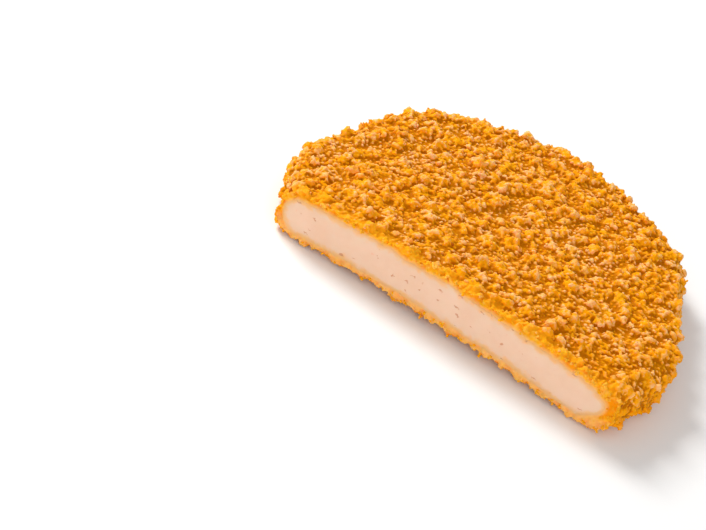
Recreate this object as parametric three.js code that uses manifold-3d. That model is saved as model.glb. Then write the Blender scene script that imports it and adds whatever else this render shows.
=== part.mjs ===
// A breaded chicken medallion with a slice cut off one side, lying on its underside.
// Millimetres, +Z up. The cut runs along X and looks towards -Y, and the origin is
// on the underside, below the middle of the piece.

import * as THREE from "three";
import { ImprovedNoise } from "three/addons/math/ImprovedNoise.js";
import { mergeVertices } from "three/addons/utils/BufferGeometryUtils.js";
import Module from "manifold-3d";

// ---- Driving dimensions -------------------------------------------------------------

const DIAMETER = 96; // the whole medallion, before it was cut
const THICKNESS = 12.2;
const CUT_FROM_CENTRE = 25.1; // the cut lies this far in front of the medallion's centre
const DOME = 0.5; // how much lower the top is where its rounded edge begins

// The coating's thickness where the cut shows it, and the rounding of the edges.
const COATING = { top: 2.2, side: 1.9, under: 1.8 };
const COATING_EDGE = { top: 4.6, under: 4.2 };
const MEAT_EDGE = { top: 2.4, under: 2.2 };
const GAP = 0.3; // between the meat and the coating

// The piece is warped beside the cut: it rises in a low arch over this half-width, which
// flattens out this far behind the cut.
const ARCH = { rise: 1.8, halfWidth: 38, reach: 30 };

// The hand-formed outline: so many waves round the rim, each this high, the first crest
// at this heading in degrees from +X.
const OUTLINE_WAVES = [
  { waves: 2, height: 1.5, crest: -66 },
  { waves: 3, height: 1.9, crest: -22 },
  { waves: 4, height: 2.0, crest: -38 },
  { waves: 5, height: 1.1, crest: 29 },
  { waves: 6, height: 1.1, crest: 5 },
  { waves: 7, height: 1.2, crest: -9 },
];

// The surface's unevenness: swells are soft, and clumps are round with creases between.
const CRUMB_RELIEF = { swells: { across: 12, height: 0.5 }, clumps: { across: 4.2, height: 1.1 } };
const MEAT_RELIEF = { swells: { across: 9, height: 0.5 }, clumps: { across: 4, height: 0.4 } };

// How finely the surfaces are divided into facets.
const COATING_DETAIL = 18;
const MEAT_DETAIL = 9;

const COLOURS = { coating: 0xe8962c, meat: 0xf0d2b4 };

// ---- Shape of a whole medallion -----------------------------------------------------

const radius = DIAMETER / 2;
const noise = new ImprovedNoise();

function reliefAt(point, { swells, clumps }) {
  const wide = point.clone().divideScalar(swells.across);
  const fine = point.clone().divideScalar(clumps.across);
  const swell = noise.noise(wide.x, wide.y, wide.z);
  const clump = Math.abs(noise.noise(fine.x, fine.y, fine.z));
  const evenClump = 0.25; // what a clump's height comes to on average
  return swells.height * swell + clumps.height * (clump - evenClump);
}

// How far the rim stands out from a true circle at a heading.
function outlineAt(heading) {
  let out = 0;
  for (const { waves, height, crest } of OUTLINE_WAVES) {
    out += height * Math.cos(waves * (heading - THREE.MathUtils.degToRad(crest)));
  }
  return out;
}

// How much the arch lifts a point.
function archAt({ x, y }) {
  const fromMiddle = Math.min(Math.abs(x) / ARCH.halfWidth, 1);
  const behindCut = THREE.MathUtils.smoothstep(y + CUT_FROM_CENTRE, 0, ARCH.reach);
  return ARCH.rise * (1 - fromMiddle ** 2) * (1 - behindCut);
}

// Half of the section: from the middle of the top, over the rounded edges and down the
// rim between them, to the middle of the underside.
function section({ rim, top, bottom, edge }) {
  const quarter = Math.PI / 2;
  const shoulder = top - DOME;
  const path = new THREE.Path();
  path.moveTo(0, top);
  path.quadraticCurveTo((rim - edge.top) / 2, top, rim - edge.top, shoulder);
  path.absarc(rim - edge.top, shoulder - edge.top, edge.top, quarter, 0, true);
  path.absarc(rim - edge.under, bottom + edge.under, edge.under, 0, -quarter, true);
  path.lineTo(0, bottom);
  path.arcLengthDivisions = 400;
  path.updateArcLengths();
  return path;
}

// The round body that the section sweeps out: a ball whose points each move to the place
// along the section that their angle from the top gives, so the facets are much alike.
function roundBody(shape) {
  const path = section(shape);
  const ball = new THREE.IcosahedronGeometry(1, shape.detail);
  ball.deleteAttribute("normal");
  ball.deleteAttribute("uv");
  const body = mergeVertices(ball);
  const places = body.getAttribute("position");
  const point = new THREE.Vector3();
  for (let i = 0; i < places.count; i++) {
    point.fromBufferAttribute(places, i);
    const heading = Math.atan2(point.y, point.x);
    const fromTop = new THREE.Vector3(0, 0, 1).angleTo(point) / Math.PI;
    const place = path.getPointAt(fromTop);
    places.setXYZ(i, place.x * Math.cos(heading), place.x * Math.sin(heading), place.y);
  }
  body.computeVertexNormals();
  return body;
}

// A whole medallion: the round body with its rim pushed out to the uneven outline, the
// relief raised on it everywhere above the smooth underside, and then arched.
function medallion(shape) {
  const body = roundBody(shape);
  const places = body.getAttribute("position");
  const normals = body.getAttribute("normal");
  const point = new THREE.Vector3();
  const out = new THREE.Vector3();
  for (let i = 0; i < places.count; i++) {
    point.fromBufferAttribute(places, i);
    out.fromBufferAttribute(normals, i);
    const share = Math.hypot(point.x, point.y) / shape.rim;
    const heading = Math.atan2(point.y, point.x);
    const stretch = 1 + (share * share * outlineAt(heading)) / radius;
    point.x *= stretch;
    point.y *= stretch;
    const lift = THREE.MathUtils.smoothstep(point.z - shape.bottom, 0, shape.edge.under);
    point.addScaledVector(out, lift * reliefAt(point, shape.relief));
    point.z += archAt(point);
    places.setXYZ(i, point.x, point.y, point.z);
  }
  return body;
}

// ---- Solids -------------------------------------------------------------------------

const wasm = await Module();
wasm.setup();

function solid(geometry) {
  const bare = geometry.clone();
  bare.deleteAttribute("normal");
  bare.deleteAttribute("uv");
  const merged = mergeVertices(bare, 1e-3);
  const mesh = new wasm.Mesh({
    numProp: 3,
    vertProperties: merged.getAttribute("position").array,
    triVerts: new Uint32Array(merged.index.array),
  });
  return new wasm.Manifold(mesh);
}

function geometryOf(made) {
  const { numProp, vertProperties, triVerts } = made.getMesh();
  const geometry = new THREE.BufferGeometry();
  geometry.setAttribute("position", new THREE.BufferAttribute(vertProperties, numProp));
  geometry.setIndex(new THREE.BufferAttribute(triVerts, 1));
  geometry.computeVertexNormals();
  return geometry;
}

// The slice that the knife took off, in front of the cut.
function slice() {
  const size = 2 * DIAMETER;
  const block = new THREE.BoxGeometry(size, size, size);
  block.translate(0, -CUT_FROM_CENTRE - size / 2, 0);
  return solid(block);
}

// The meat's own body, or with no gap the hollow that it fills in the coating.
function meatBody(gap) {
  return medallion({
    rim: radius - COATING.side - gap,
    top: THICKNESS - COATING.top - gap,
    bottom: COATING.under + gap,
    edge: MEAT_EDGE,
    detail: MEAT_DETAIL,
    relief: MEAT_RELIEF,
  });
}

function meat() {
  return solid(meatBody(GAP)).subtract(slice());
}

function crumbCoating() {
  const outside = medallion({
    rim: radius,
    top: THICKNESS,
    bottom: 0,
    edge: COATING_EDGE,
    detail: COATING_DETAIL,
    relief: CRUMB_RELIEF,
  });
  return solid(outside).subtract(solid(meatBody(0))).subtract(slice());
}

// ---- The piece ----------------------------------------------------------------------

function node(name, made, colour, roughness) {
  const material = new THREE.MeshStandardMaterial({ color: colour, roughness, metalness: 0 });
  const mesh = new THREE.Mesh(geometryOf(made), material);
  mesh.name = name;
  return mesh;
}

const piece = new THREE.Group();
piece.add(node("chicken_meat", meat(), COLOURS.meat, 0.6));
piece.add(node("crumb_coating", crumbCoating(), COLOURS.coating, 0.9));

const middle = new THREE.Box3().setFromObject(piece).getCenter(new THREE.Vector3());
piece.position.set(-middle.x, -middle.y, 0);

export default piece;
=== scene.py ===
"""A breaded chicken medallion with a slice cut off one side, dressed round its CAD model.

Metres, +Z up. The piece lies on its underside, and its cut looks towards -Y.
"""

import math

import bpy
from mathutils import Matrix, Vector


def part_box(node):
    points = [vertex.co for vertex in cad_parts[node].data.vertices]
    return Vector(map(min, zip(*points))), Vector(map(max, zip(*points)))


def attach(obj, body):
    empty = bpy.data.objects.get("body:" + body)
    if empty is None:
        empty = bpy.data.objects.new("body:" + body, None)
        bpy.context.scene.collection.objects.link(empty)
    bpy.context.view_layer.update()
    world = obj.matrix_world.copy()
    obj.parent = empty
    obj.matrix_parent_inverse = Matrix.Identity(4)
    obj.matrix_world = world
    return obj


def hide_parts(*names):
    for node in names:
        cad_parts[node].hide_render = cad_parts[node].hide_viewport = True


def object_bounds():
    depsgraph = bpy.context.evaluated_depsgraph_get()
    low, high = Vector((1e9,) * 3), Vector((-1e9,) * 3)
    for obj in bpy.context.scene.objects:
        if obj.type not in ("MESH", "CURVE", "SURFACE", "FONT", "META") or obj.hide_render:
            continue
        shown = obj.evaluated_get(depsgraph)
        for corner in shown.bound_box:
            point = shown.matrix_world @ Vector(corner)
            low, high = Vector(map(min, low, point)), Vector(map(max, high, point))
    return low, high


bl_info = {
    "name": "Breaded chicken medallion",
    "version": (1, 0, 0),
    "blender": (4, 5, 0),
    "location": "3D View > Sidebar > Medallion",
    "description": "Makes the crumb coating, the loose crumbs and the meat of a cut chicken medallion",
    "category": "Object",
}

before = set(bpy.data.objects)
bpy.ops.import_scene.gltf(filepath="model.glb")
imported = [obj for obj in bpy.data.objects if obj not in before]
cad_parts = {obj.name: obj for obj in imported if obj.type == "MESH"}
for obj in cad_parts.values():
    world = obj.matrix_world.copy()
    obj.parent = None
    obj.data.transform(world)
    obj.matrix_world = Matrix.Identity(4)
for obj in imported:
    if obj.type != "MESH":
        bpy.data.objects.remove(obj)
CAD_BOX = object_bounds()
MM = 0.001
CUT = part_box("crumb_coating")[0].y  # where the slice was cut off
BODY_FINENESS = 0.6 * MM  # facets of the meat's body
SEED_STEP = 20  # keeps the draws of two kinds of crumbs apart


# ---- What a user may change ---------------------------------------------------------


def length(name, description, default_mm, low_mm=0.0, high_mm=100.0):
    return bpy.props.FloatProperty(
        name=name,
        description=description,
        default=default_mm * MM,
        min=low_mm * MM,
        max=high_mm * MM,
        precision=5,
        subtype="DISTANCE",
        unit="LENGTH",
    )


def colour(name, description, default):
    return bpy.props.FloatVectorProperty(
        name=name, description=description, default=default, min=0, max=1, subtype="COLOR"
    )


class CoatingSettings(bpy.types.PropertyGroup):
    inset: length("Crumb layer", "How deep the batter lies below the crumbs' tops", 0.55)
    batter_fineness: length("Batter fineness", "Size of the batter's facets", 0.5, 0.2, 2)
    fineness: length("Crust fineness", "Size of the fused crust's facets", 0.24, 0.2, 2)
    lengths: bpy.props.IntProperty(
        name="Lengths", description="How many lengths the crust is divided into", default=6, min=1
    )
    clump: length("Clump size", "Distance between the clumps of the batter", 3.3, 1, 10)
    clump_height: length("Clump height", "Depth of the creases between clumps", 1.4, 0, 3)
    pit: length("Pit depth", "Depth of the uneven pits", 0.8, 0, 3)
    size: length("Cluster size", "Width of an average crumb cluster", 2.15, 0.3, 4)
    spacing: length("Cluster spacing", "Least distance between clusters", 2.0, 0.3, 6)
    lump: length("Lump size", "Width of an average single crumb", 1.15, 0.3, 4)
    lump_spacing: length("Lump spacing", "Least distance between single crumbs", 1.5, 0.3, 6)
    grain: length("Grain size", "Width of an average grain", 0.8, 0.2, 3)
    grain_spacing: length("Grain spacing", "Least distance between grains", 0.95, 0.2, 6)
    nodule: length("Nodule size", "Width of a smooth batter nodule", 2.3, 0.5, 6)
    golden: colour("Golden", "Fried crumbs", (0.91, 0.36, 0.003))
    # Pale is the crumbs' own paler tone and, on the crust, also a painted highlight where it stands
    # out and lies open.
    pale: colour("Pale", "Dry tips of the crumbs", (0.98, 0.52, 0.21))
    orange: colour("Orange", "Oily patches", (0.95, 0.34, 0.001))
    # Painted shade: the crust's creases and hollows are mixed towards this colour.
    crease_shade: colour("Painted crease shade", "Bottom of the creases", (0.54, 0.162, 0.0))
    amber: colour("Amber", "The oily cut edge of the coating", (0.97, 0.39, 0.008))
    light: colour("Light", "Drier lumps of the cut edge", (0.98, 0.48, 0.07))
    # Painted shade: mixed into the creases of the cut ring.
    ring_shade: colour("Ring shade", "Creases of the cut edge", (0.9, 0.28, 0.0))
    inner: colour("Inner", "Where the cut coating meets the meat", (0.98, 0.49, 0.17))
    seed: bpy.props.IntProperty(name="Seed", description="Another scatter", default=7)


class CrumbSettings(bpy.types.PropertyGroup):
    size: length("Crumb size", "Width of an average loose crumb", 1.3, 0.3, 4)
    spacing: length("Crumb spacing", "Least distance between loose crumbs", 3.0, 0.3, 9)
    grain: length("Grain size", "Width of an average loose grain", 0.6, 0.2, 3)
    grain_spacing: length("Grain spacing", "Least distance between loose grains", 1.8, 0.2, 6)
    golden: colour("Golden", "Fried crumbs", (0.91, 0.37, 0.008))
    pale: colour("Pale", "Dry tips of the crumbs", (0.98, 0.52, 0.21))
    orange: colour("Orange", "Oily batter nodules", (0.93, 0.33, 0.006))
    toasted: colour("Toasted", "The darkest crumbs", (0.42, 0.11, 0.005))
    seed: bpy.props.IntProperty(name="Seed", description="Another scatter", default=7)


class MeatSettings(bpy.types.PropertyGroup):
    colour: colour("Meat", "Cooked minced chicken", (0.855, 0.571, 0.402))
    edge: colour("Edge", "Where the meat has taken colour from the coating", (0.95, 0.47, 0.18))
    pore: colour("Pore", "Small pores and specks", (0.63, 0.25, 0.12))
    spot: colour("Spot", "Faint darker spots", (0.87, 0.45, 0.29))
    edge_width: length("Edge width", "Width of the coloured edge", 1.4, 0, 5)
    pore_spacing: length("Pore spacing", "Least distance between pores", 1.4, 0.5, 20)
    fineness: length("Fineness", "Size of the facets of the cut face", 0.22, 0.1, 1)


class StudioSettings(bpy.types.PropertyGroup):
    floor: colour("Floor", "A plain pale floor", (0.93, 0.925, 0.915))
    sky: bpy.props.FloatProperty(
        name="Surround", description="Brightness of the white surround", default=0.5, min=0
    )
    key: bpy.props.FloatProperty(
        name="Key light", description="Power of the large light", default=5.0, min=0
    )
    lens: bpy.props.FloatProperty(
        name="Lens", description="Focal length in millimetres", default=85, min=10
    )


SETTINGS = {
    "medallion_coating": CoatingSettings,
    "medallion_crumbs": CrumbSettings,
    "medallion_meat": MeatSettings,
    "medallion_studio": StudioSettings,
}


# ---- Working by hand ----------------------------------------------------------------


def activate(obj):
    """Selects one object alone and makes it the active one."""
    bpy.ops.object.select_all(action="DESELECT")
    obj.select_set(True)
    bpy.context.view_layer.objects.active = obj


def edit(obj, kind="FACE"):
    """Enters edit mode with whatever select() chose."""
    activate(obj)
    bpy.ops.object.mode_set(mode="EDIT")
    bpy.ops.mesh.select_mode(type=kind)


def leave():
    bpy.ops.object.mode_set(mode="OBJECT")


def select(obj, faces=None, points=None):
    """Selects faces or points by a test on each, before edit mode."""
    mesh = obj.data
    for parts in (mesh.vertices, mesh.edges, mesh.polygons):
        parts.foreach_set("select", [False] * len(parts))
    if faces:
        mesh.polygons.foreach_set("select", [bool(faces(f)) for f in mesh.polygons])
    if points:
        mesh.vertices.foreach_set("select", [bool(points(v)) for v in mesh.vertices])


def modify(obj, kind, **settings):
    """Adds a modifier and applies it."""
    activate(obj)
    bpy.ops.object.modifier_add(type=kind)
    modifier = obj.modifiers[-1]
    for name, value in settings.items():
        setattr(modifier, name, value)
    bpy.ops.object.modifier_apply(modifier=modifier.name)


def copy_of(name, cad_node):
    """A merged copy of a CAD node. The node itself isn't touched."""
    obj = bpy.data.objects.new(name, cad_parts[cad_node].data.copy())
    obj.data.name = name
    obj.data.materials.clear()
    bpy.context.scene.collection.objects.link(obj)
    edit(obj, "VERT")
    bpy.ops.mesh.select_all(action="SELECT")
    bpy.ops.mesh.remove_doubles(threshold=0.01 * MM)
    bpy.ops.mesh.customdata_custom_splitnormals_clear()
    leave()
    return obj


def duplicate(obj, name):
    activate(obj)
    bpy.ops.object.duplicate()
    made = bpy.context.object
    made.name = made.data.name = name
    return made


def discard(*objects):
    """Removes objects and their meshes."""
    for obj in objects:
        mesh = obj.data
        bpy.data.objects.remove(obj)
        bpy.data.meshes.remove(mesh)


def pull_out_cut(obj, distance):
    """Makes a body longer in front of the cut, so that it can be cut afresh."""
    select(obj, points=lambda v: v.co.y < CUT + 0.05 * MM)
    edit(obj, "VERT")
    bpy.ops.transform.translate(value=(0, -distance, 0))
    leave()


def cutting_block(fineness, front):
    """A block behind the cut, whose front face has facets of this size."""
    low, high = (corner.copy() for corner in CAD_BOX)
    width, height = high.x - low.x + 8 * MM, high.z - low.z + 8 * MM
    bpy.ops.object.select_all(action="DESELECT")
    bpy.ops.mesh.primitive_grid_add(
        x_subdivisions=round(width / fineness),
        y_subdivisions=round(height / fineness),
        size=1,
        location=(0, front, (low.z + high.z) / 2),
        rotation=(math.pi / 2, 0, 0),
    )
    block = bpy.context.object
    block.scale = (width, height, 1)
    bpy.ops.object.transform_apply(location=True, rotation=True, scale=True)
    bpy.ops.object.mode_set(mode="EDIT")
    bpy.ops.mesh.select_all(action="SELECT")
    bpy.ops.mesh.region_to_loop()
    bpy.ops.mesh.extrude_edges_move(
        TRANSFORM_OT_translate={"value": (0, high.y - low.y + 8 * MM, 0)}
    )
    bpy.ops.mesh.edge_face_add()
    bpy.ops.mesh.select_all(action="SELECT")
    bpy.ops.mesh.normals_make_consistent(inside=False)
    leave()
    return block


# ---- Nodes --------------------------------------------------------------------------


def node(tree, kind, inputs=None, **settings):
    """Adds a node. An input is a value or another node's output."""
    made = tree.nodes.new(kind)
    for name, value in settings.items():
        setattr(made, name, value)
    for name, value in (inputs or {}).items():
        if isinstance(value, bpy.types.NodeSocket):
            tree.links.new(value, made.inputs[name])
        else:
            made.inputs[name].default_value = value
    return made


def sums(tree, operation, *values, clamp=False):
    made = node(tree, "ShaderNodeMath", dict(enumerate(values)), operation=operation)
    made.use_clamp = clamp
    return made.outputs[0]


def vectors(tree, operation, *values):
    made = node(tree, "ShaderNodeVectorMath", dict(enumerate(values)), operation=operation)
    return made.outputs["Vector"]


def ramp(tree, value, start, end, low=0.0, high=1.0):
    """A smooth step of a value from low at start to high at end."""
    made = node(
        tree,
        "ShaderNodeMapRange",
        {0: value, 1: start, 2: end, 3: low, 4: high},
        interpolation_type="SMOOTHSTEP",
    )
    return made.outputs[0]


def mix(tree, amount, first, second):
    """The first colour, or the second where the amount is 1."""
    made = node(
        tree, "ShaderNodeMix", {0: amount, 6: first, 7: second}, data_type="RGBA"
    )
    return made.outputs[2]


def between(tree, amount, first, second):
    """The first number, or the second where the amount is 1."""
    return node(tree, "ShaderNodeMix", {0: amount, 2: first, 3: second}).outputs[0]


def noise(tree, place, size, detail=2.0, roughness=0.5, output=0):
    """An uneven value from 0 to 1 whose largest patches have this size."""
    return node(
        tree,
        "ShaderNodeTexNoise",
        {"Vector": place, "Scale": 1 / size, "Detail": detail, "Roughness": roughness},
    ).outputs[output]


def swing(tree, place, size, detail=2.0, roughness=0.5):
    """The same uneven value, swinging about nothing."""
    return sums(tree, "SUBTRACT", noise(tree, place, size, detail, roughness), 0.5)


def wavering(tree, place, size, detail, reach):
    """Each place, pushed unevenly aside by up to half the reach."""
    push = noise(tree, place, size, detail, output="Color")
    push = vectors(tree, "SUBTRACT", push, (0.5,) * 3)
    return vectors(tree, "MULTIPLY_ADD", push, (reach,) * 3, place)


def cells(tree, place, size, output="Distance"):
    """Cells of this size: the distance from their middles, or a colour for each."""
    return node(
        tree, "ShaderNodeTexVoronoi", {"Vector": place, "Scale": 1 / size}
    ).outputs[output]


def soft_cells(tree, place, size, smoothness):
    """The distance from the middles of cells whose borders run into each other."""
    return node(
        tree,
        "ShaderNodeTexVoronoi",
        {"Vector": place, "Scale": 1 / size, "Smoothness": smoothness},
        feature="SMOOTH_F1",
    ).outputs["Distance"]


def rgba(value):
    return (*value, 1.0)


def shape_with_nodes(obj, name, build):
    """Reshapes an object by a geometry node tree, which build() fills in, and applies it."""
    tree = bpy.data.node_groups.new(name, "GeometryNodeTree")
    for side in ("INPUT", "OUTPUT"):
        tree.interface.new_socket("Geometry", in_out=side, socket_type="NodeSocketGeometry")
    start = tree.nodes.new("NodeGroupInput")
    end = tree.nodes.new("NodeGroupOutput")
    tree.links.new(build(tree, start.outputs[0]), end.inputs[0])
    modify(obj, "NODES", node_group=tree)
    bpy.data.node_groups.remove(tree)


def position(tree):
    return node(tree, "GeometryNodeInputPosition").outputs[0]


def along(tree, axis, place):
    """One of a vector's three parts: 0 for X, 1 for Y, 2 for Z."""
    return node(tree, "ShaderNodeSeparateXYZ", {0: place}).outputs[axis]


def kept(tree, geometry, name, value, domain="POINT"):
    """Stores a value on the geometry for the materials to read."""
    made = node(
        tree,
        "GeometryNodeStoreNamedAttribute",
        {"Geometry": geometry, "Name": name, "Value": value},
        data_type="FLOAT",
        domain=domain,
    )
    return made.outputs[0]


def read(tree, name):
    """A value that kept() stored."""
    return node(
        tree, "GeometryNodeInputNamedAttribute", {"Name": name}, data_type="FLOAT"
    ).outputs[0]


def moved(tree, geometry, offset):
    return node(
        tree, "GeometryNodeSetPosition", {"Geometry": geometry, "Offset": offset}
    ).outputs[0]


def shifted(tree, geometry, axis, amount):
    """Moves each point along one axis."""
    return moved(tree, geometry, node(tree, "ShaderNodeCombineXYZ", {axis: amount}).outputs[0])


def scaled(tree, direction, amount):
    return node(
        tree, "ShaderNodeVectorMath", {0: direction, "Scale": amount}, operation="SCALE"
    ).outputs[0]


def smooth_normal(tree, times):
    """The way out from the surface, smoothed this many times."""
    normal = node(tree, "GeometryNodeInputNormal").outputs[0]
    even = node(
        tree, "GeometryNodeBlurAttribute", {0: normal, 1: times}, data_type="FLOAT_VECTOR"
    ).outputs[0]
    return vectors(tree, "NORMALIZE", even)


def standing_out(tree, place, times):
    """How far each point stands out from the surface round it, smoothed this many times."""
    level = node(
        tree, "GeometryNodeBlurAttribute", {0: place, 1: times}, data_type="FLOAT_VECTOR"
    ).outputs[0]
    return node(
        tree,
        "ShaderNodeVectorMath",
        {0: vectors(tree, "SUBTRACT", place, level), 1: smooth_normal(tree, 2)},
        operation="DOT_PRODUCT",
    ).outputs["Value"]


def shape_of(tree, obj):
    return node(tree, "GeometryNodeObjectInfo", {"Object": obj}).outputs["Geometry"]


def distance_to(tree, geometry):
    """How far each point is from the faces of another shape."""
    return node(
        tree, "GeometryNodeProximity", {"Geometry": geometry}, target_element="FACES"
    ).outputs["Distance"]


def without(tree, geometry, faces):
    """The geometry without the faces for which a value is 1."""
    return node(
        tree,
        "GeometryNodeDeleteGeometry",
        {"Geometry": geometry, "Selection": faces},
        domain="FACE",
    ).outputs[0]


def on_the_cut(tree, place, within):
    """1 at this distance or less from the plane of the cut, else 0."""
    away = sums(tree, "ABSOLUTE", sums(tree, "SUBTRACT", along(tree, 1, place), CUT))
    return sums(tree, "LESS_THAN", away, within)


def near(tree, place, centre, reach):
    """How near each point is to a place, from 0 to 1."""
    apart = node(
        tree, "ShaderNodeVectorMath", {0: place, 1: centre}, operation="DISTANCE"
    ).outputs["Value"]
    return ramp(tree, apart, reach, 0.2 * reach)


# ---- The meat -----------------------------------------------------------------------


def meat_body(name, grown, fineness):
    """The meat as one uneven body that runs on past the cut."""
    low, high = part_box("chicken_meat")
    full_end = (low.x + 1.2 * MM, CUT, low.z + 6.9 * MM)
    lean_end = (high.x - 3.0 * MM, CUT, low.z + 0.6 * MM)
    unevenness, fuller, leaner = 1.9 * MM, 1.1 * MM, -1.9 * MM
    body = copy_of(name, "chicken_meat")
    pull_out_cut(body, 3 * MM)
    modify(body, "REMESH", mode="VOXEL", voxel_size=fineness)
    modify(body, "SMOOTH", factor=0.5, iterations=4)

    def build(tree, geometry):
        place = position(tree)
        wide = swing(tree, place, 3.2 * MM, 4, 0.6)
        swell = sums(tree, "MULTIPLY_ADD", wide, unevenness, grown)
        swell = sums(tree, "MULTIPLY_ADD", near(tree, place, full_end, 6 * MM), fuller, swell)
        swell = sums(tree, "MULTIPLY_ADD", near(tree, place, lean_end, 7 * MM), leaner, swell)
        return moved(tree, geometry, scaled(tree, smooth_normal(tree, 3), swell))

    shape_with_nodes(body, "Uneven", build)
    return body


def cut_afresh(body, fineness, front):
    """Cuts a body off in front, with facets of this size on the new face."""
    block = cutting_block(fineness, front)
    modify(body, "BOOLEAN", operation="INTERSECT", solver="MANIFOLD", object=block)
    discard(block)


def pores(tree, place, spacing):
    """How deep each point of the cut face lies in one of its uneven pores, from 0 to 1."""
    stretch = 0.35
    least, greatest = 0.08, 0.23  # of the spacing
    fewest, most = 0.04, 0.45  # of the places are taken
    bent = wavering(tree, place, 0.7 * MM, 3, 1.7 * MM)
    across = node(tree, "ShaderNodeSeparateXYZ", {0: bent})
    long_way = sums(tree, "MULTIPLY", across.outputs[0], stretch)
    flat = node(
        tree, "ShaderNodeCombineXYZ", {0: long_way, 1: across.outputs[2]}
    ).outputs[0]
    spots = node(
        tree,
        "ShaderNodeTexVoronoi",
        {"Vector": flat, "Scale": 1 / spacing},
        voronoi_dimensions="2D",
    )
    lot = node(tree, "ShaderNodeSeparateXYZ", {0: spots.outputs["Color"]})
    crowd = ramp(tree, noise(tree, place, 7 * MM, 1), 0.4, 0.6, fewest, most)
    taken = sums(tree, "LESS_THAN", lot.outputs[0], crowd)
    reach = ramp(tree, lot.outputs[1], 0, 1, least, greatest)
    inside = sums(tree, "DIVIDE", spots.outputs["Distance"], reach)
    inside = sums(tree, "SUBTRACT", 1.0, inside, clamp=True)
    return sums(tree, "MULTIPLY", inside, taken)


def finish_cut_face(body, settings):
    """Gives the meat's cut face its slight waves and its pores."""
    wave, ripple, dent = 0.35 * MM, 0.08 * MM, 0.1 * MM

    def build(tree, geometry):
        place = position(tree)
        on_cut = on_the_cut(tree, place, 0.1 * MM)
        facing = along(tree, 1, node(tree, "GeometryNodeInputNormal").outputs[0])
        front = sums(tree, "LESS_THAN", facing, -0.99)
        edge = distance_to(tree, without(tree, geometry, front))
        pore = sums(tree, "MULTIPLY", pores(tree, place, settings.pore_spacing), on_cut)
        depth = sums(tree, "MULTIPLY", swing(tree, place, 5 * MM, 3), wave)
        depth = sums(tree, "MULTIPLY_ADD", swing(tree, place, 1.2 * MM, 2), ripple, depth)
        depth = sums(tree, "MULTIPLY", depth, ramp(tree, edge, 0, 1 * MM))
        depth = sums(tree, "MULTIPLY_ADD", pore, dent, depth)
        depth = sums(tree, "MULTIPLY", depth, on_cut)
        geometry = kept(tree, geometry, "edge", edge)
        geometry = kept(tree, geometry, "cut", on_cut)
        return shifted(tree, geometry, 1, depth)

    shape_with_nodes(body, "Cut face", build)


# ---- The coating --------------------------------------------------------------------


def coating_body(settings):
    """The coating's outer skin as one body, filled in and running on past the cut."""
    body = copy_of("skin", "crumb_coating")
    low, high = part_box("chicken_meat")
    middle = (low + high) / 2
    select(body, faces=lambda f: f.normal.dot(middle - f.center) > 0)
    edit(body)
    bpy.ops.mesh.delete(type="FACE")
    bpy.ops.mesh.select_mode(type="EDGE")
    bpy.ops.mesh.select_non_manifold()
    bpy.ops.mesh.edge_face_add()
    leave()
    pull_out_cut(body, 4 * MM)
    modify(body, "REMESH", mode="VOXEL", voxel_size=settings.batter_fineness)
    modify(body, "SMOOTH", factor=0.5, iterations=4)
    return body


def add_clumps(body, settings):
    """Sinks the skin below the crumbs and gives it clumps with creases between them."""
    worn_end = (CAD_BOX[1].x - 8 * MM, CUT, 0)
    small_height, swelling, worn, deepest = 0.45 * MM, 1.8 * MM, -0.9 * MM, -1.25 * MM
    evenly = settings.clump_height / 2 + 0.1 * MM

    def build(tree, geometry):
        place = position(tree)
        bent = wavering(tree, place, 2.2 * MM, 2, 1.8 * MM)
        clump = soft_cells(tree, bent, settings.clump, 0.25)
        clump = sums(tree, "SUBTRACT", 1.0, ramp(tree, clump, 0.1, 0.75))
        small = soft_cells(tree, bent, settings.clump * 0.42, 0.2)
        small = sums(tree, "SUBTRACT", 1.0, ramp(tree, small, 0.1, 0.75))
        outwards = smooth_normal(tree, 5)
        height = sums(tree, "MULTIPLY", clump, settings.clump_height)
        height = sums(tree, "MULTIPLY_ADD", small, small_height, height)
        height = sums(tree, "MULTIPLY_ADD", swing(tree, place, 9 * MM, 2), swelling, height)
        pit = ramp(tree, noise(tree, bent, 2.6 * MM, 3), 0.46, 0.36)
        height = sums(tree, "MULTIPLY_ADD", pit, -settings.pit, height)
        raised = ramp(tree, height, 0.0, 1.3 * MM)
        height = sums(tree, "SUBTRACT", height, settings.inset + evenly)
        height = sums(tree, "MULTIPLY_ADD", near(tree, place, worn_end, 10 * MM), worn, height)
        height = sums(tree, "MAXIMUM", height, deepest)
        below = ramp(tree, along(tree, 2, outwards), -0.35, -0.8)
        level = sums(tree, "MULTIPLY_ADD", height, 0.65, 0.15 * MM)
        height = between(tree, below, height, level)
        geometry = kept(tree, geometry, "clump", raised)
        return moved(tree, geometry, scaled(tree, outwards, height))

    shape_with_nodes(body, "Clumps", build)


def add_knobs(body):
    """Gives the fused crumbs their knobbly skin."""

    def build(tree, geometry):
        knob = noise(tree, position(tree), 0.6 * MM, 3, 0.65)
        height = sums(tree, "MULTIPLY_ADD", knob, 0.5 * MM, -0.25 * MM)
        return moved(tree, geometry, scaled(tree, smooth_normal(tree, 2), height))

    shape_with_nodes(body, "Knobs", build)


def press_flat(body):
    """Presses whatever stands below the underside flat against what it lies on."""

    def build(tree, geometry):
        height = along(tree, 2, position(tree))
        pressed = sums(tree, "SMOOTH_MAX", height, 0.05 * MM, 0.5 * MM)
        return shifted(tree, geometry, 2, sums(tree, "SUBTRACT", pressed, height))

    shape_with_nodes(body, "Pressed", build)


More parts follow.
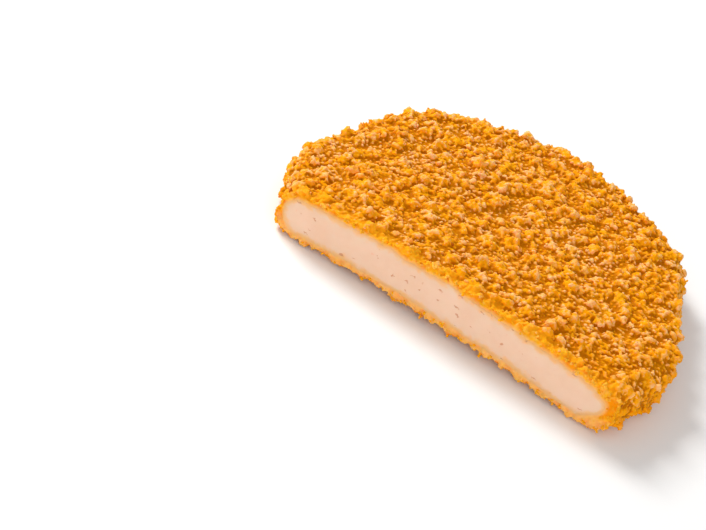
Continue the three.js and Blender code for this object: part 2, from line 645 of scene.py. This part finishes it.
def finish_crust(crust, meat, base):
    """Roughens the cut ring, and keeps what the materials need to know of each point."""
    lump_depth, rough_depth = 1.1 * MM, 1.3 * MM

    def build(tree, geometry):
        place = position(tree)
        on_cut = on_the_cut(tree, place, 0.02 * MM)
        from_meat = distance_to(tree, shape_of(tree, meat))
        from_base = distance_to(tree, shape_of(tree, base))
        close = standing_out(tree, place, 6)
        wide = standing_out(tree, place, 40)
        lumps = soft_cells(tree, place, 1.7 * MM, 0.25)
        depth = sums(tree, "MULTIPLY_ADD", lumps, lump_depth, -0.5 * MM)
        rough = swing(tree, place, 0.9 * MM, 3, 0.65)
        depth = sums(tree, "MULTIPLY_ADD", rough, rough_depth, depth)
        depth = sums(tree, "MULTIPLY", depth, ramp(tree, from_meat, 0, 0.8 * MM))
        depth = sums(tree, "MULTIPLY", depth, on_cut)
        proud = ramp(tree, close, -0.2 * MM, 0.2 * MM)
        lifted = ramp(tree, depth, 0.35 * MM, -0.35 * MM)
        for name, value in (
            ("from_meat", from_meat),
            ("raised", ramp(tree, from_base, 1.1 * MM, 3.3 * MM)),
            ("proud", between(tree, on_cut, proud, lifted)),
            ("open", ramp(tree, wide, -0.4 * MM, 0.45 * MM)),
            ("cut", on_cut),
        ):
            geometry = kept(tree, geometry, name, value)
        return shifted(tree, geometry, 1, depth)

    shape_with_nodes(crust, "Crust", build)


def carry_over(piece, whole):
    """Gives a piece of the crust what the whole crust knows of each point."""

    def build(tree, geometry):
        source = shape_of(tree, whole)
        for name in ("from_meat", "raised", "proud", "open", "cut"):
            value = node(
                tree,
                "GeometryNodeSampleNearestSurface",
                {"Mesh": source, "Value": read(tree, name)},
                data_type="FLOAT",
            ).outputs[0]
            geometry = kept(tree, geometry, name, value)
        return geometry

    shape_with_nodes(piece, "Carried over", build)


# ---- Crumbs -------------------------------------------------------------------------


def lump(name, rounds, seed, stretch, jitter):
    """One crumb, a millimetre across. More rounds of subdivision make it smoother."""
    bpy.ops.object.select_all(action="DESELECT")
    bpy.ops.mesh.primitive_ico_sphere_add(subdivisions=rounds, radius=0.5 * MM)
    crumb = bpy.context.object
    crumb.name = crumb.data.name = name
    bpy.ops.object.mode_set(mode="EDIT")
    bpy.ops.mesh.select_all(action="SELECT")
    bpy.ops.transform.resize(value=stretch)
    bpy.ops.transform.vertex_random(offset=jitter * MM, uniform=0, normal=0, seed=seed)
    leave()
    return crumb


def cluster(name, seed, grains):
    """Several grains fused into one crumb, about a millimetre across."""
    made = []
    for number in range(grains):
        turn = 2.4 * number + seed
        reach = 0.375 * math.sqrt(number / grains)
        width = 0.42 + 0.08 * (number % 2)
        grain = lump(f"{name}_{number}", 1, seed * 17 + number, (0.5, width, 0.4), 0.07)
        grain.location = (
            reach * math.cos(turn) * MM,
            reach * math.sin(turn) * MM,
            (0.16 * math.sin(1.7 * number + seed)) * MM,
        )
        grain.rotation_euler = (turn, 0.7 * turn, 1.3 * turn)
        made.append(grain)
    whole = made[0]
    bpy.ops.object.select_all(action="DESELECT")
    for grain in made:
        grain.select_set(True)
    bpy.context.view_layer.objects.active = whole
    bpy.ops.object.join()
    bpy.ops.object.transform_apply(location=True, rotation=True, scale=True)
    whole.name = whole.data.name = name
    return whole


def grain_shapes():
    return [lump(f"grain_{n}", 1, n, (1, 0.8 + 0.05 * n, 0.7), 0.12) for n in range(4)]


def lump_shapes():
    return [lump(f"lump_{n}", 2, n + 5, (1, 0.85, 0.65 + 0.05 * n), 0.17) for n in range(4)]


def nodule_shapes():
    return [lump(f"nodule_{n}", 2, n + 9, (1, 0.8, 0.6), 0.06) for n in range(3)]


def cluster_shapes(fewest, choices):
    """Five clusters. The number of their grains goes up from the fewest, and round again."""
    return [cluster(f"cluster_{n}", n + 1, fewest + n % choices) for n in range(5)]


def scatter(name, onto, shapes, spacing, size, seed, sink, where=None, share=None):
    """Scatters copies of the shapes over a surface and makes one mesh of them.

    size and sink are ranges: the widths, and how far out the crumbs stand in millimetres.
    where() says which faces take crumbs, and share() how many of the places are used.
    """
    shelf = bpy.data.collections.new(name + "_shapes")
    for shape in shapes:
        shelf.objects.link(shape)
    bpy.ops.object.select_all(action="DESELECT")
    bpy.ops.mesh.primitive_plane_add(size=1 * MM)
    piece = bpy.context.object
    piece.name = piece.data.name = name

    def draw(tree, low, high, step, kind="FLOAT"):
        first = {"FLOAT": 2, "FLOAT_VECTOR": 0, "INT": 4}[kind]
        made = node(
            tree,
            "FunctionNodeRandomValue",
            {first: low, first + 1: high, "Seed": seed + step},
            data_type=kind,
        )
        return made.outputs[{"FLOAT": 1, "FLOAT_VECTOR": 0, "INT": 2}[kind]]

    def build(tree, _):
        skin = shape_of(tree, onto)
        if where:
            skin = without(tree, skin, sums(tree, "SUBTRACT", 1.0, where(tree)))
        spread = node(
            tree,
            "GeometryNodeDistributePointsOnFaces",
            {
                "Mesh": skin,
                "Distance Min": spacing,
                "Density Max": 2.2 / spacing**2,
                "Density Factor": share(tree) if share else 1.0,
                "Seed": seed,
            },
            distribute_method="POISSON",
        )
        lift = sums(tree, "MULTIPLY", draw(tree, *sink, 5), MM)
        outwards = scaled(tree, spread.outputs["Normal"], lift)
        choice = node(
            tree,
            "GeometryNodeCollectionInfo",
            {"Collection": shelf, "Separate Children": True, "Reset Children": True},
        ).outputs[0]
        placed = node(
            tree,
            "GeometryNodeInstanceOnPoints",
            {
                "Points": moved(tree, spread.outputs["Points"], outwards),
                "Instance": choice,
                "Pick Instance": True,
                "Instance Index": draw(tree, 0, len(shapes) - 1, 1, "INT"),
                "Rotation": draw(tree, (-math.pi,) * 3, (math.pi,) * 3, 2, "FLOAT_VECTOR"),
                "Scale": draw(tree, size[0] / MM, size[1] / MM, 3),
            },
        ).outputs[0]
        placed = kept(tree, placed, "tone", draw(tree, 0.0, 1.0, 4), "INSTANCE")
        return node(tree, "GeometryNodeRealizeInstances", {0: placed}).outputs[0]

    shape_with_nodes(piece, name, build)
    bpy.data.collections.remove(shelf)
    activate(piece)
    bpy.ops.object.shade_smooth_by_angle(angle=math.radians(30))
    return piece


# ---- Materials ----------------------------------------------------------------------


def group(name, inputs, outputs, build):
    """A shader node group, built once. build() returns its outputs in order."""
    if name in bpy.data.node_groups:
        return bpy.data.node_groups[name]
    tree = bpy.data.node_groups.new(name, "ShaderNodeTree")
    for label, (kind, default) in inputs.items():
        socket = tree.interface.new_socket(label, in_out="INPUT", socket_type=kind)
        socket.default_value = default
    for label, kind in outputs.items():
        tree.interface.new_socket(label, in_out="OUTPUT", socket_type=kind)
    start = tree.nodes.new("NodeGroupInput")
    end = tree.nodes.new("NodeGroupOutput")
    for index, result in enumerate(build(tree, start.outputs)):
        tree.links.new(result, end.inputs[index])
    return tree


NUMBER, COLOUR = "NodeSocketFloat", "NodeSocketColor"


def fried_colour_and_painted_light():
    """Fried colour: golden, paler at random and with a painted highlight on tips that stand out, more
    orange where oily, and deep painted shade in the creases and hollows.
    """

    def build(tree, given):
        place = node(tree, "ShaderNodeTexCoord").outputs["Object"]
        specks = noise(tree, place, 0.8 * MM, 3, 0.6)
        low = ramp(tree, along(tree, 2, place), 10 * MM, 4 * MM, 0, 0.3)
        # Paler tone: random specks, tone and patches, less of it low down, and a painted highlight
        # where the crust stands out (Proud) and lies open (Open).
        pale_tone_and_highlight = sums(tree, "MULTIPLY", specks, 0.5)
        for value, weight in (
            (given["Tone"], 0.35),
            (given["Proud"], 0.42),
            (given["Open"], 0.3),
            (low, -0.35),
            (noise(tree, place, 3.2 * MM, 1), 0.9),
        ):
            pale_tone_and_highlight = sums(tree, "MULTIPLY_ADD", value, weight, pale_tone_and_highlight)
        oily = sums(tree, "MULTIPLY_ADD", specks, 0.4, noise(tree, place, 7 * MM, 3))
        oily = sums(tree, "ADD", oily, low)
        # Painted shade: points that neither stand out, lie raised nor lie open are mixed towards the
        # deep crease shade colour.
        sunk = sums(tree, "MULTIPLY", given["Proud"], 0.25)
        sunk = sums(tree, "MULTIPLY_ADD", given["Raised"], 0.3, sunk)
        sunk = sums(tree, "MULTIPLY_ADD", given["Open"], 0.5, sunk)
        made = mix(tree, ramp(tree, pale_tone_and_highlight, 1.25, 1.73), given["Golden"], given["Pale"])
        made = mix(tree, ramp(tree, oily, 0.68, 0.92, 0, 0.75), made, given["Orange"])
        # Painted shade: the hollows between clumps are darkened towards the deep crease shade colour.
        hollow = ramp(tree, given["Open"], 0.55, 0.15, 0, 0.28)
        made = mix(tree, hollow, made, given["Painted crease shade"])
        return [mix(tree, ramp(tree, sunk, 0.6, 0.22), made, given["Painted crease shade"])]

    return group(
        "Fried colour and painted light",
        {
            "Golden": (COLOUR, (0.9, 0.4, 0.06, 1)),
            "Pale": (COLOUR, (0.95, 0.6, 0.2, 1)),
            "Orange": (COLOUR, (0.95, 0.36, 0.01, 1)),
            "Painted crease shade": (COLOUR, (0.6, 0.2, 0.01, 1)),
            "Tone": (NUMBER, 0.5),
            "Raised": (NUMBER, 0.5),
            "Proud": (NUMBER, 0.5),
            "Open": (NUMBER, 0.5),
        },
        {"Color": COLOUR},
        build,
    )


def fine_grain():
    """Fine grain: a fine, uneven relief for the crumbs, the batter and the meat."""

    def build(tree, given):
        place = node(tree, "ShaderNodeTexCoord").outputs["Object"]
        closer = scaled(tree, place, sums(tree, "DIVIDE", 1.0, given["Size"]))
        soft = noise(tree, closer, 1.0, 3)
        pits = cells(tree, closer, 1 / 1.6)
        pits = sums(tree, "MULTIPLY", pits, 0.3)
        return [sums(tree, "MULTIPLY_ADD", soft, 0.7, pits)]

    return group("Fine grain", {"Size": (NUMBER, 0.4 * MM)}, {"Height": NUMBER}, build)


def new_material(name):
    """A material with an empty node tree."""
    material = bpy.data.materials.new(name)
    material.use_nodes = True
    material.node_tree.nodes.clear()
    return material, material.node_tree


def surface(tree, colour_value, height, inputs, bump=0.3, distance=0.1 * MM):
    """The material's own shader, with a bump from a height."""
    relief = node(
        tree, "ShaderNodeBump", {"Strength": bump, "Distance": distance, "Height": height}
    ).outputs[0]
    shader = node(
        tree,
        "ShaderNodeBsdfPrincipled",
        {"Base Color": colour_value, "Normal": relief, **inputs},
    )
    node(tree, "ShaderNodeOutputMaterial", {"Surface": shader.outputs[0]})
    return shader


def attribute(tree, name):
    """A value that the piece's mesh keeps for its material."""
    return node(tree, "ShaderNodeAttribute", attribute_name=name).outputs["Fac"]


def fill(tree, made, inputs):
    """Places a node group with its own values."""
    effect = node(tree, "ShaderNodeGroup", node_tree=made)
    for label, value in inputs.items():
        if isinstance(value, bpy.types.NodeSocket):
            tree.links.new(value, effect.inputs[label])
        else:
            effect.inputs[label].default_value = rgba(value) if isinstance(value, tuple) else value
    return effect.outputs[0]


FRIED = {
    "Roughness": 0.42,
    "Specular IOR Level": 0.02,
    "Subsurface Weight": 0.35,
    "Subsurface Radius": (1.0, 0.4, 0.08),
    "Subsurface Scale": 0.8 * MM,
}
MEAT = {
    "Roughness": 0.5,
    "Specular IOR Level": 0.3,
    "Subsurface Weight": 0.5,
    "Subsurface Radius": (1.0, 0.6, 0.4),
    "Subsurface Scale": 2.0 * MM,
}


def crumb_material(name, golden, pale, orange, crease_shade):
    """Loose crumbs: fried colour by each crumb's own tone."""
    material, tree = new_material(name)
    colours = fill(
        tree,
        fried_colour_and_painted_light(),
        {
            "Golden": golden,
            "Pale": pale,
            "Orange": orange,
            "Painted crease shade": crease_shade,
            "Tone": attribute(tree, "tone"),
            "Raised": 1.0,
            "Proud": 0.7,
            "Open": 1.0,
        },
    )
    grain = fill(tree, fine_grain(), {"Size": 0.3 * MM})
    surface(tree, colours, grain, FRIED)
    return material


def crust_material(settings):
    """The fused crust: fried colour on its skin, and oily batter on and beside the cut, with painted
    shade in the cut ring's creases and a lighter lower ring that is partly painted light.
    """
    material, tree = new_material("Crust")
    place = node(tree, "ShaderNodeTexCoord").outputs["Object"]
    lot = cells(tree, place, 0.95 * MM, "Color")
    colours = fill(
        tree,
        fried_colour_and_painted_light(),
        {
            "Golden": tuple(settings.golden),
            "Pale": tuple(settings.pale),
            "Orange": tuple(settings.orange),
            "Painted crease shade": tuple(settings.crease_shade),
            "Tone": along(tree, 0, lot),
            "Raised": attribute(tree, "raised"),
            "Proud": attribute(tree, "proud"),
            "Open": attribute(tree, "open"),
        },
    )
    amber, inner = rgba(settings.amber), rgba(settings.inner)
    blotch = noise(tree, place, 1.4 * MM, 3)
    # Painted shade: where the cut ring doesn't stand out, it is mixed towards the darker ring crease
    # colour.
    painted_ring_shade = ramp(tree, attribute(tree, "proud"), 0.6, 0.0, 0, 0.8)
    by_meat = ramp(tree, attribute(tree, "from_meat"), 1 * MM, 0)
    # Lighter low down on the cut ring, mixed towards the inner colour: partly the paler pan-side edge,
    # partly painted light where the floor shades the lower ring.
    low = ramp(tree, along(tree, 2, place), 5 * MM, 3 * MM, 0, 0.55)
    ring = mix(tree, ramp(tree, blotch, 0.4, 0.7), amber, rgba(settings.light))
    ring = mix(tree, painted_ring_shade, ring, rgba(settings.ring_shade))
    ring = mix(tree, by_meat, ring, inner)
    ring = mix(tree, low, ring, inner)
    behind = sums(tree, "MULTIPLY_ADD", blotch, 3 * MM, along(tree, 1, place))
    beside_cut = ramp(tree, behind, CUT + 5.5 * MM, CUT + 2.2 * MM, 0, 0.9)
    colours = mix(tree, beside_cut, colours, amber)
    colours = mix(tree, attribute(tree, "cut"), colours, ring)
    grain = fill(tree, fine_grain(), {"Size": 0.35 * MM})
    surface(tree, colours, grain, FRIED, bump=0.15, distance=0.12 * MM)
    return material


def meat_material(settings):
    """Cooked minced chicken: pale, with faint clouds, spots, pores and a coloured edge."""
    material, tree = new_material("Chicken")
    place = node(tree, "ShaderNodeTexCoord").outputs["Object"]
    darker = [c * f for c, f in zip(settings.colour, (0.985, 0.965, 0.95))]
    lighter = [min(1, c * f) for c, f in zip(settings.colour, (1.01, 1.03, 1.05))]
    clouds = ramp(tree, noise(tree, place, 4 * MM, 4, 0.55), 0.3, 0.7)
    spots = ramp(tree, noise(tree, place, 1.3 * MM, 2), 0.66, 0.75, 0, 0.5)
    uneven = sums(tree, "MULTIPLY_ADD", noise(tree, place, 1.8 * MM, 3), 2.4 * MM, -1.2 * MM)
    uneven = sums(tree, "ADD", attribute(tree, "edge"), uneven)
    pore = pores(tree, place, settings.pore_spacing)
    pore = sums(tree, "MULTIPLY", pore, attribute(tree, "cut"))
    made = mix(tree, clouds, rgba(darker), rgba(lighter))
    made = mix(tree, spots, made, rgba(settings.spot))
    made = mix(tree, ramp(tree, uneven, settings.edge_width, 0), made, rgba(settings.edge))
    made = mix(tree, ramp(tree, pore, 0.05, 0.6, 0, 0.75), made, rgba(settings.pore))
    grain = fill(tree, fine_grain(), {"Size": 0.7 * MM})
    surface(tree, made, grain, MEAT, bump=0.12)
    return material


def clothe(piece, material):
    """Gives a piece its material and says what it belongs to."""
    piece.data.materials.clear()
    piece.data.materials.append(material)
    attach(piece, "root")


# ---- Operators ----------------------------------------------------------------------


class MEDALLION_OT_meat(bpy.types.Operator):
    """Makes the chicken meat with its cut face and pores"""

    bl_idname = "medallion.meat"
    bl_label = "Chicken meat"

    def execute(self, context):
        settings = context.scene.medallion_meat
        meat = meat_body("Meat", 0.42 * MM, BODY_FINENESS)
        cut_afresh(meat, settings.fineness, CUT - 0.03 * MM)
        finish_cut_face(meat, settings)
        activate(meat)
        bpy.ops.object.shade_smooth_by_angle(angle=math.radians(40))
        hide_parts("chicken_meat")
        clothe(meat, meat_material(settings))
        return {"FINISHED"}


class MEDALLION_OT_crust(bpy.types.Operator):
    """Fuses the batter and its crumbs into the crust, hollow for the meat"""

    bl_idname = "medallion.crust"
    bl_label = "Crust"

    def execute(self, context):
        settings = context.scene.medallion_coating
        crust = coating_body(settings)
        base = duplicate(crust, "base")
        modify(base, "DISPLACE", strength=-2.5 * MM, mid_level=0)
        add_clumps(crust, settings)

        def on_clumps(tree):
            return ramp(tree, read(tree, "clump"), 0.0, 0.5, 0.45, 1.0)

        grains, clusters = grain_shapes(), cluster_shapes(13, 3)
        lumps, nodules = lump_shapes(), nodule_shapes()
        size, lump_size, grain_size = settings.size, settings.lump, settings.grain
        rows = (
            ("stuck_clusters", clusters, settings.spacing, size, (-0.75, -0.15), on_clumps),
            ("stuck_lumps", lumps, settings.lump_spacing, lump_size, (-0.4, 0.1), on_clumps),
            ("stuck_grains", grains, settings.grain_spacing, grain_size, (0.0, 0.3), None),
            ("stuck_nodules", nodules, 5 * MM, settings.nodule, (-0.6, -0.1), None),
        )
        stuck = []
        for number, (name, shapes, spacing, across, sink, share) in enumerate(rows):
            widths = (0.65 * across, 1.35 * across)
            seed = settings.seed + SEED_STEP * number
            stuck.append(scatter(name, crust, shapes, spacing, widths, seed, sink, share=share))
        bpy.ops.object.select_all(action="DESELECT")
        for piece in (*stuck, crust):
            piece.select_set(True)
        context.view_layer.objects.active = crust
        bpy.ops.object.join()
        modify(crust, "REMESH", mode="VOXEL", voxel_size=settings.fineness)
        add_knobs(crust)
        press_flat(crust)
        cut_afresh(crust, 0.25 * MM, CUT)
        hollow = meat_body("hollow", 0.3 * MM, BODY_FINENESS)
        modify(crust, "BOOLEAN", operation="DIFFERENCE", solver="MANIFOLD", object=hollow)
        finish_crust(crust, hollow, base)
        discard(hollow, base, *grains, *clusters, *lumps, *nodules)
        crust.name = crust.data.name = "Whole_crust"
        return {"FINISHED"}


class MEDALLION_OT_divide(bpy.types.Operator):
    """Divides the crust into closed lengths that are light enough to handle"""

    bl_idname = "medallion.divide"
    bl_label = "Divide the crust"

    def execute(self, context):
        settings = context.scene.medallion_coating
        whole = bpy.data.objects["Whole_crust"]
        material = crust_material(settings)
        places = sorted(face.center.x for face in whole.data.polygons)
        beyond = 10 * MM
        ends = [places[len(places) * n // settings.lengths] for n in range(1, settings.lengths)]
        ends = [CAD_BOX[0].x - beyond, *ends, CAD_BOX[1].x + beyond]
        for number, (start, end) in enumerate(zip(ends, ends[1:]), 1):
            piece = duplicate(whole, f"Crust_{number}")
            bpy.ops.object.select_all(action="DESELECT")
            bpy.ops.mesh.primitive_cube_add(size=1, location=((start + end) / 2, 0, 0))
            block = context.object
            block.scale = (end - start, 1, 1)
            bpy.ops.object.transform_apply(location=True, rotation=True, scale=True)
            modify(piece, "BOOLEAN", operation="INTERSECT", solver="MANIFOLD", object=block)
            discard(block)
            carry_over(piece, whole)
            activate(piece)
            bpy.ops.object.shade_smooth_by_angle(angle=math.radians(60))
            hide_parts("crumb_coating")
            clothe(piece, material)
        discard(whole)
        return {"FINISHED"}


class MEDALLION_OT_crumbs(bpy.types.Operator):
    """Scatters the loose crumbs over the crust"""

    bl_idname = "medallion.crumbs"
    bl_label = "Crumbs"

    def execute(self, context):
        settings = context.scene.medallion_crumbs
        coating = context.scene.medallion_coating
        crust = bpy.data.objects["Whole_crust"]

        def clear_of(tree, meat, floor):
            """1 on faces further than this from the meat and higher than this."""
            far = sums(tree, "GREATER_THAN", read(tree, "from_meat"), meat)
            high = sums(tree, "GREATER_THAN", along(tree, 2, position(tree)), floor)
            return sums(tree, "MULTIPLY", far, high)

        def on_skin(tree):
            off_cut = sums(tree, "LESS_THAN", read(tree, "cut"), 0.5)
            return sums(tree, "MULTIPLY", clear_of(tree, 1.2 * MM, 0.7 * MM), off_cut)

        def on_ring(tree):
            on_cut = sums(tree, "GREATER_THAN", read(tree, "cut"), 0.5)
            return sums(tree, "MULTIPLY", clear_of(tree, 0.6 * MM, 1.0 * MM), on_cut)

        golden, pale, orange = (
            tuple(c) for c in (settings.golden, settings.pale, settings.orange)
        )
        toasted, amber, light = (
            tuple(c) for c in (settings.toasted, coating.amber, coating.light)
        )
        fried, drier, edge = (golden, pale, orange), (golden, pale, golden), (amber, light, amber)
        burnt = (toasted,) * 3
        grains, clusters = grain_shapes(), cluster_shapes(4, 2)
        size, grain = settings.size, settings.grain
        above, sunk = (-0.35, -0.05), (-0.4, -0.1)
        rows = (
            ("Crumbs", clusters, settings.spacing, size, on_skin, above, fried),
            ("Pale_grains", grains, settings.grain_spacing, grain, on_skin, above, drier),
            ("Cut_edge_crumbs", clusters, 1.7 * MM, 1.3 * MM, on_ring, sunk, edge),
            ("Cut_edge_grains", grains, 1.3 * MM, 0.7 * MM, on_ring, above, edge),
            ("Toasted_crumbs", grains, 16 * MM, 1.1 * MM, on_skin, above, burnt),
        )
        for number, (name, shapes, spacing, across, where, sink, shades) in enumerate(rows):
            widths = (0.7 * across, 1.3 * across)
            seed = settings.seed + SEED_STEP * number
            made = scatter(name, crust, shapes, spacing, widths, seed, sink, where)
            material = crumb_material(name.replace("_", " "), *shades, toasted)
            clothe(made, material)
        discard(*grains, *clusters)
        return {"FINISHED"}


class MEDALLION_OT_studio(bpy.types.Operator):
    """Sets up the floor, the soft lights and the camera"""

    bl_idname = "medallion.studio"
    bl_label = "Studio"

    def execute(self, context):
        settings = context.scene.medallion_studio
        bpy.ops.object.select_all(action="DESELECT")
        bpy.ops.mesh.primitive_plane_add(size=6)
        floor = bpy.context.object
        floor.name = "Floor"
        material, tree = new_material("Pale floor")
        place = node(tree, "ShaderNodeTexCoord").outputs["Object"]
        faint = noise(tree, place, 0.3, 2)
        tone = mix(tree, faint, rgba(settings.floor), rgba([c * 0.99 for c in settings.floor]))
        surface(tree, tone, faint, {"Roughness": 0.7, "Specular IOR Level": 0.2}, bump=0.02)
        floor.data.materials.append(material)

        world = bpy.data.worlds.new("White surround")
        context.scene.world = world
        world.use_nodes = True
        sky = world.node_tree.nodes["Background"]
        sky.inputs["Color"].default_value = (1, 1, 1, 1)
        sky.inputs["Strength"].default_value = settings.sky

        for name, place, power, size in (
            ("Key", (-0.55, 0.16, 0.47), settings.key, 0.26),
            ("Fill", (0.25, -0.6, 0.3), settings.key * 0.36, 0.5),
        ):
            bpy.ops.object.light_add(type="AREA", location=place)
            light = bpy.context.object
            light.name = name
            light.data.energy = power
            light.data.size = size
            light.rotation_euler = Vector(place).to_track_quat("Z", "Y").to_euler()

        aim = Vector((-18.07, -41.40, 6.0)) * MM
        distance = 341 * MM
        azimuth, elevation, roll = (math.radians(a) for a in (20.04, 35.06, 20.93))
        bpy.ops.object.camera_add()
        camera = bpy.context.object
        camera.name = "Camera"
        camera.data.sensor_width = 36
        camera.data.lens = settings.lens
        camera.data.clip_start = 0.01
        right = Vector((math.cos(azimuth), math.sin(azimuth), 0))
        ahead = Vector((-math.sin(azimuth), math.cos(azimuth), 0))
        back = Vector((0, 0, math.sin(elevation))) - ahead * math.cos(elevation)
        up = back.cross(right)
        turned = Matrix((
            right * math.cos(roll) + up * math.sin(roll),
            up * math.cos(roll) - right * math.sin(roll),
            back,
        )).transposed()
        camera.matrix_world = Matrix.Translation(aim + back * distance) @ turned.to_4x4()
        context.scene.camera = camera
        context.scene.view_settings.view_transform = "Standard"
        return {"FINISHED"}


class MEDALLION_PT_panel(bpy.types.Panel):
    """Lists the medallion's pieces"""

    bl_label = "Medallion"
    bl_space_type = "VIEW_3D"
    bl_region_type = "UI"
    bl_category = "Medallion"

    def draw(self, context):
        for name, operator in (
            ("medallion_studio", MEDALLION_OT_studio),
            ("medallion_meat", MEDALLION_OT_meat),
            ("medallion_coating", MEDALLION_OT_crust),
            ("medallion_crumbs", MEDALLION_OT_crumbs),
        ):
            box = self.layout.box()
            settings = getattr(context.scene, name)
            for prop in SETTINGS[name].__annotations__:
                box.prop(settings, prop)
            box.operator(operator.bl_idname)
        self.layout.operator(MEDALLION_OT_divide.bl_idname)


CLASSES = (
    *SETTINGS.values(),
    MEDALLION_OT_meat,
    MEDALLION_OT_crust,
    MEDALLION_OT_crumbs,
    MEDALLION_OT_divide,
    MEDALLION_OT_studio,
    MEDALLION_PT_panel,
)


def register():
    for made in CLASSES:
        bpy.utils.register_class(made)
    for name, kind in SETTINGS.items():
        setattr(bpy.types.Scene, name, bpy.props.PointerProperty(type=kind))


def unregister():
    for name in SETTINGS:
        delattr(bpy.types.Scene, name)
    for made in reversed(CLASSES):
        bpy.utils.unregister_class(made)


def main():
    register()
    bpy.ops.medallion.studio()
    bpy.ops.medallion.meat()
    bpy.ops.medallion.crust()
    bpy.ops.medallion.crumbs()
    bpy.ops.medallion.divide()


if __name__ == "__main__":
    main()
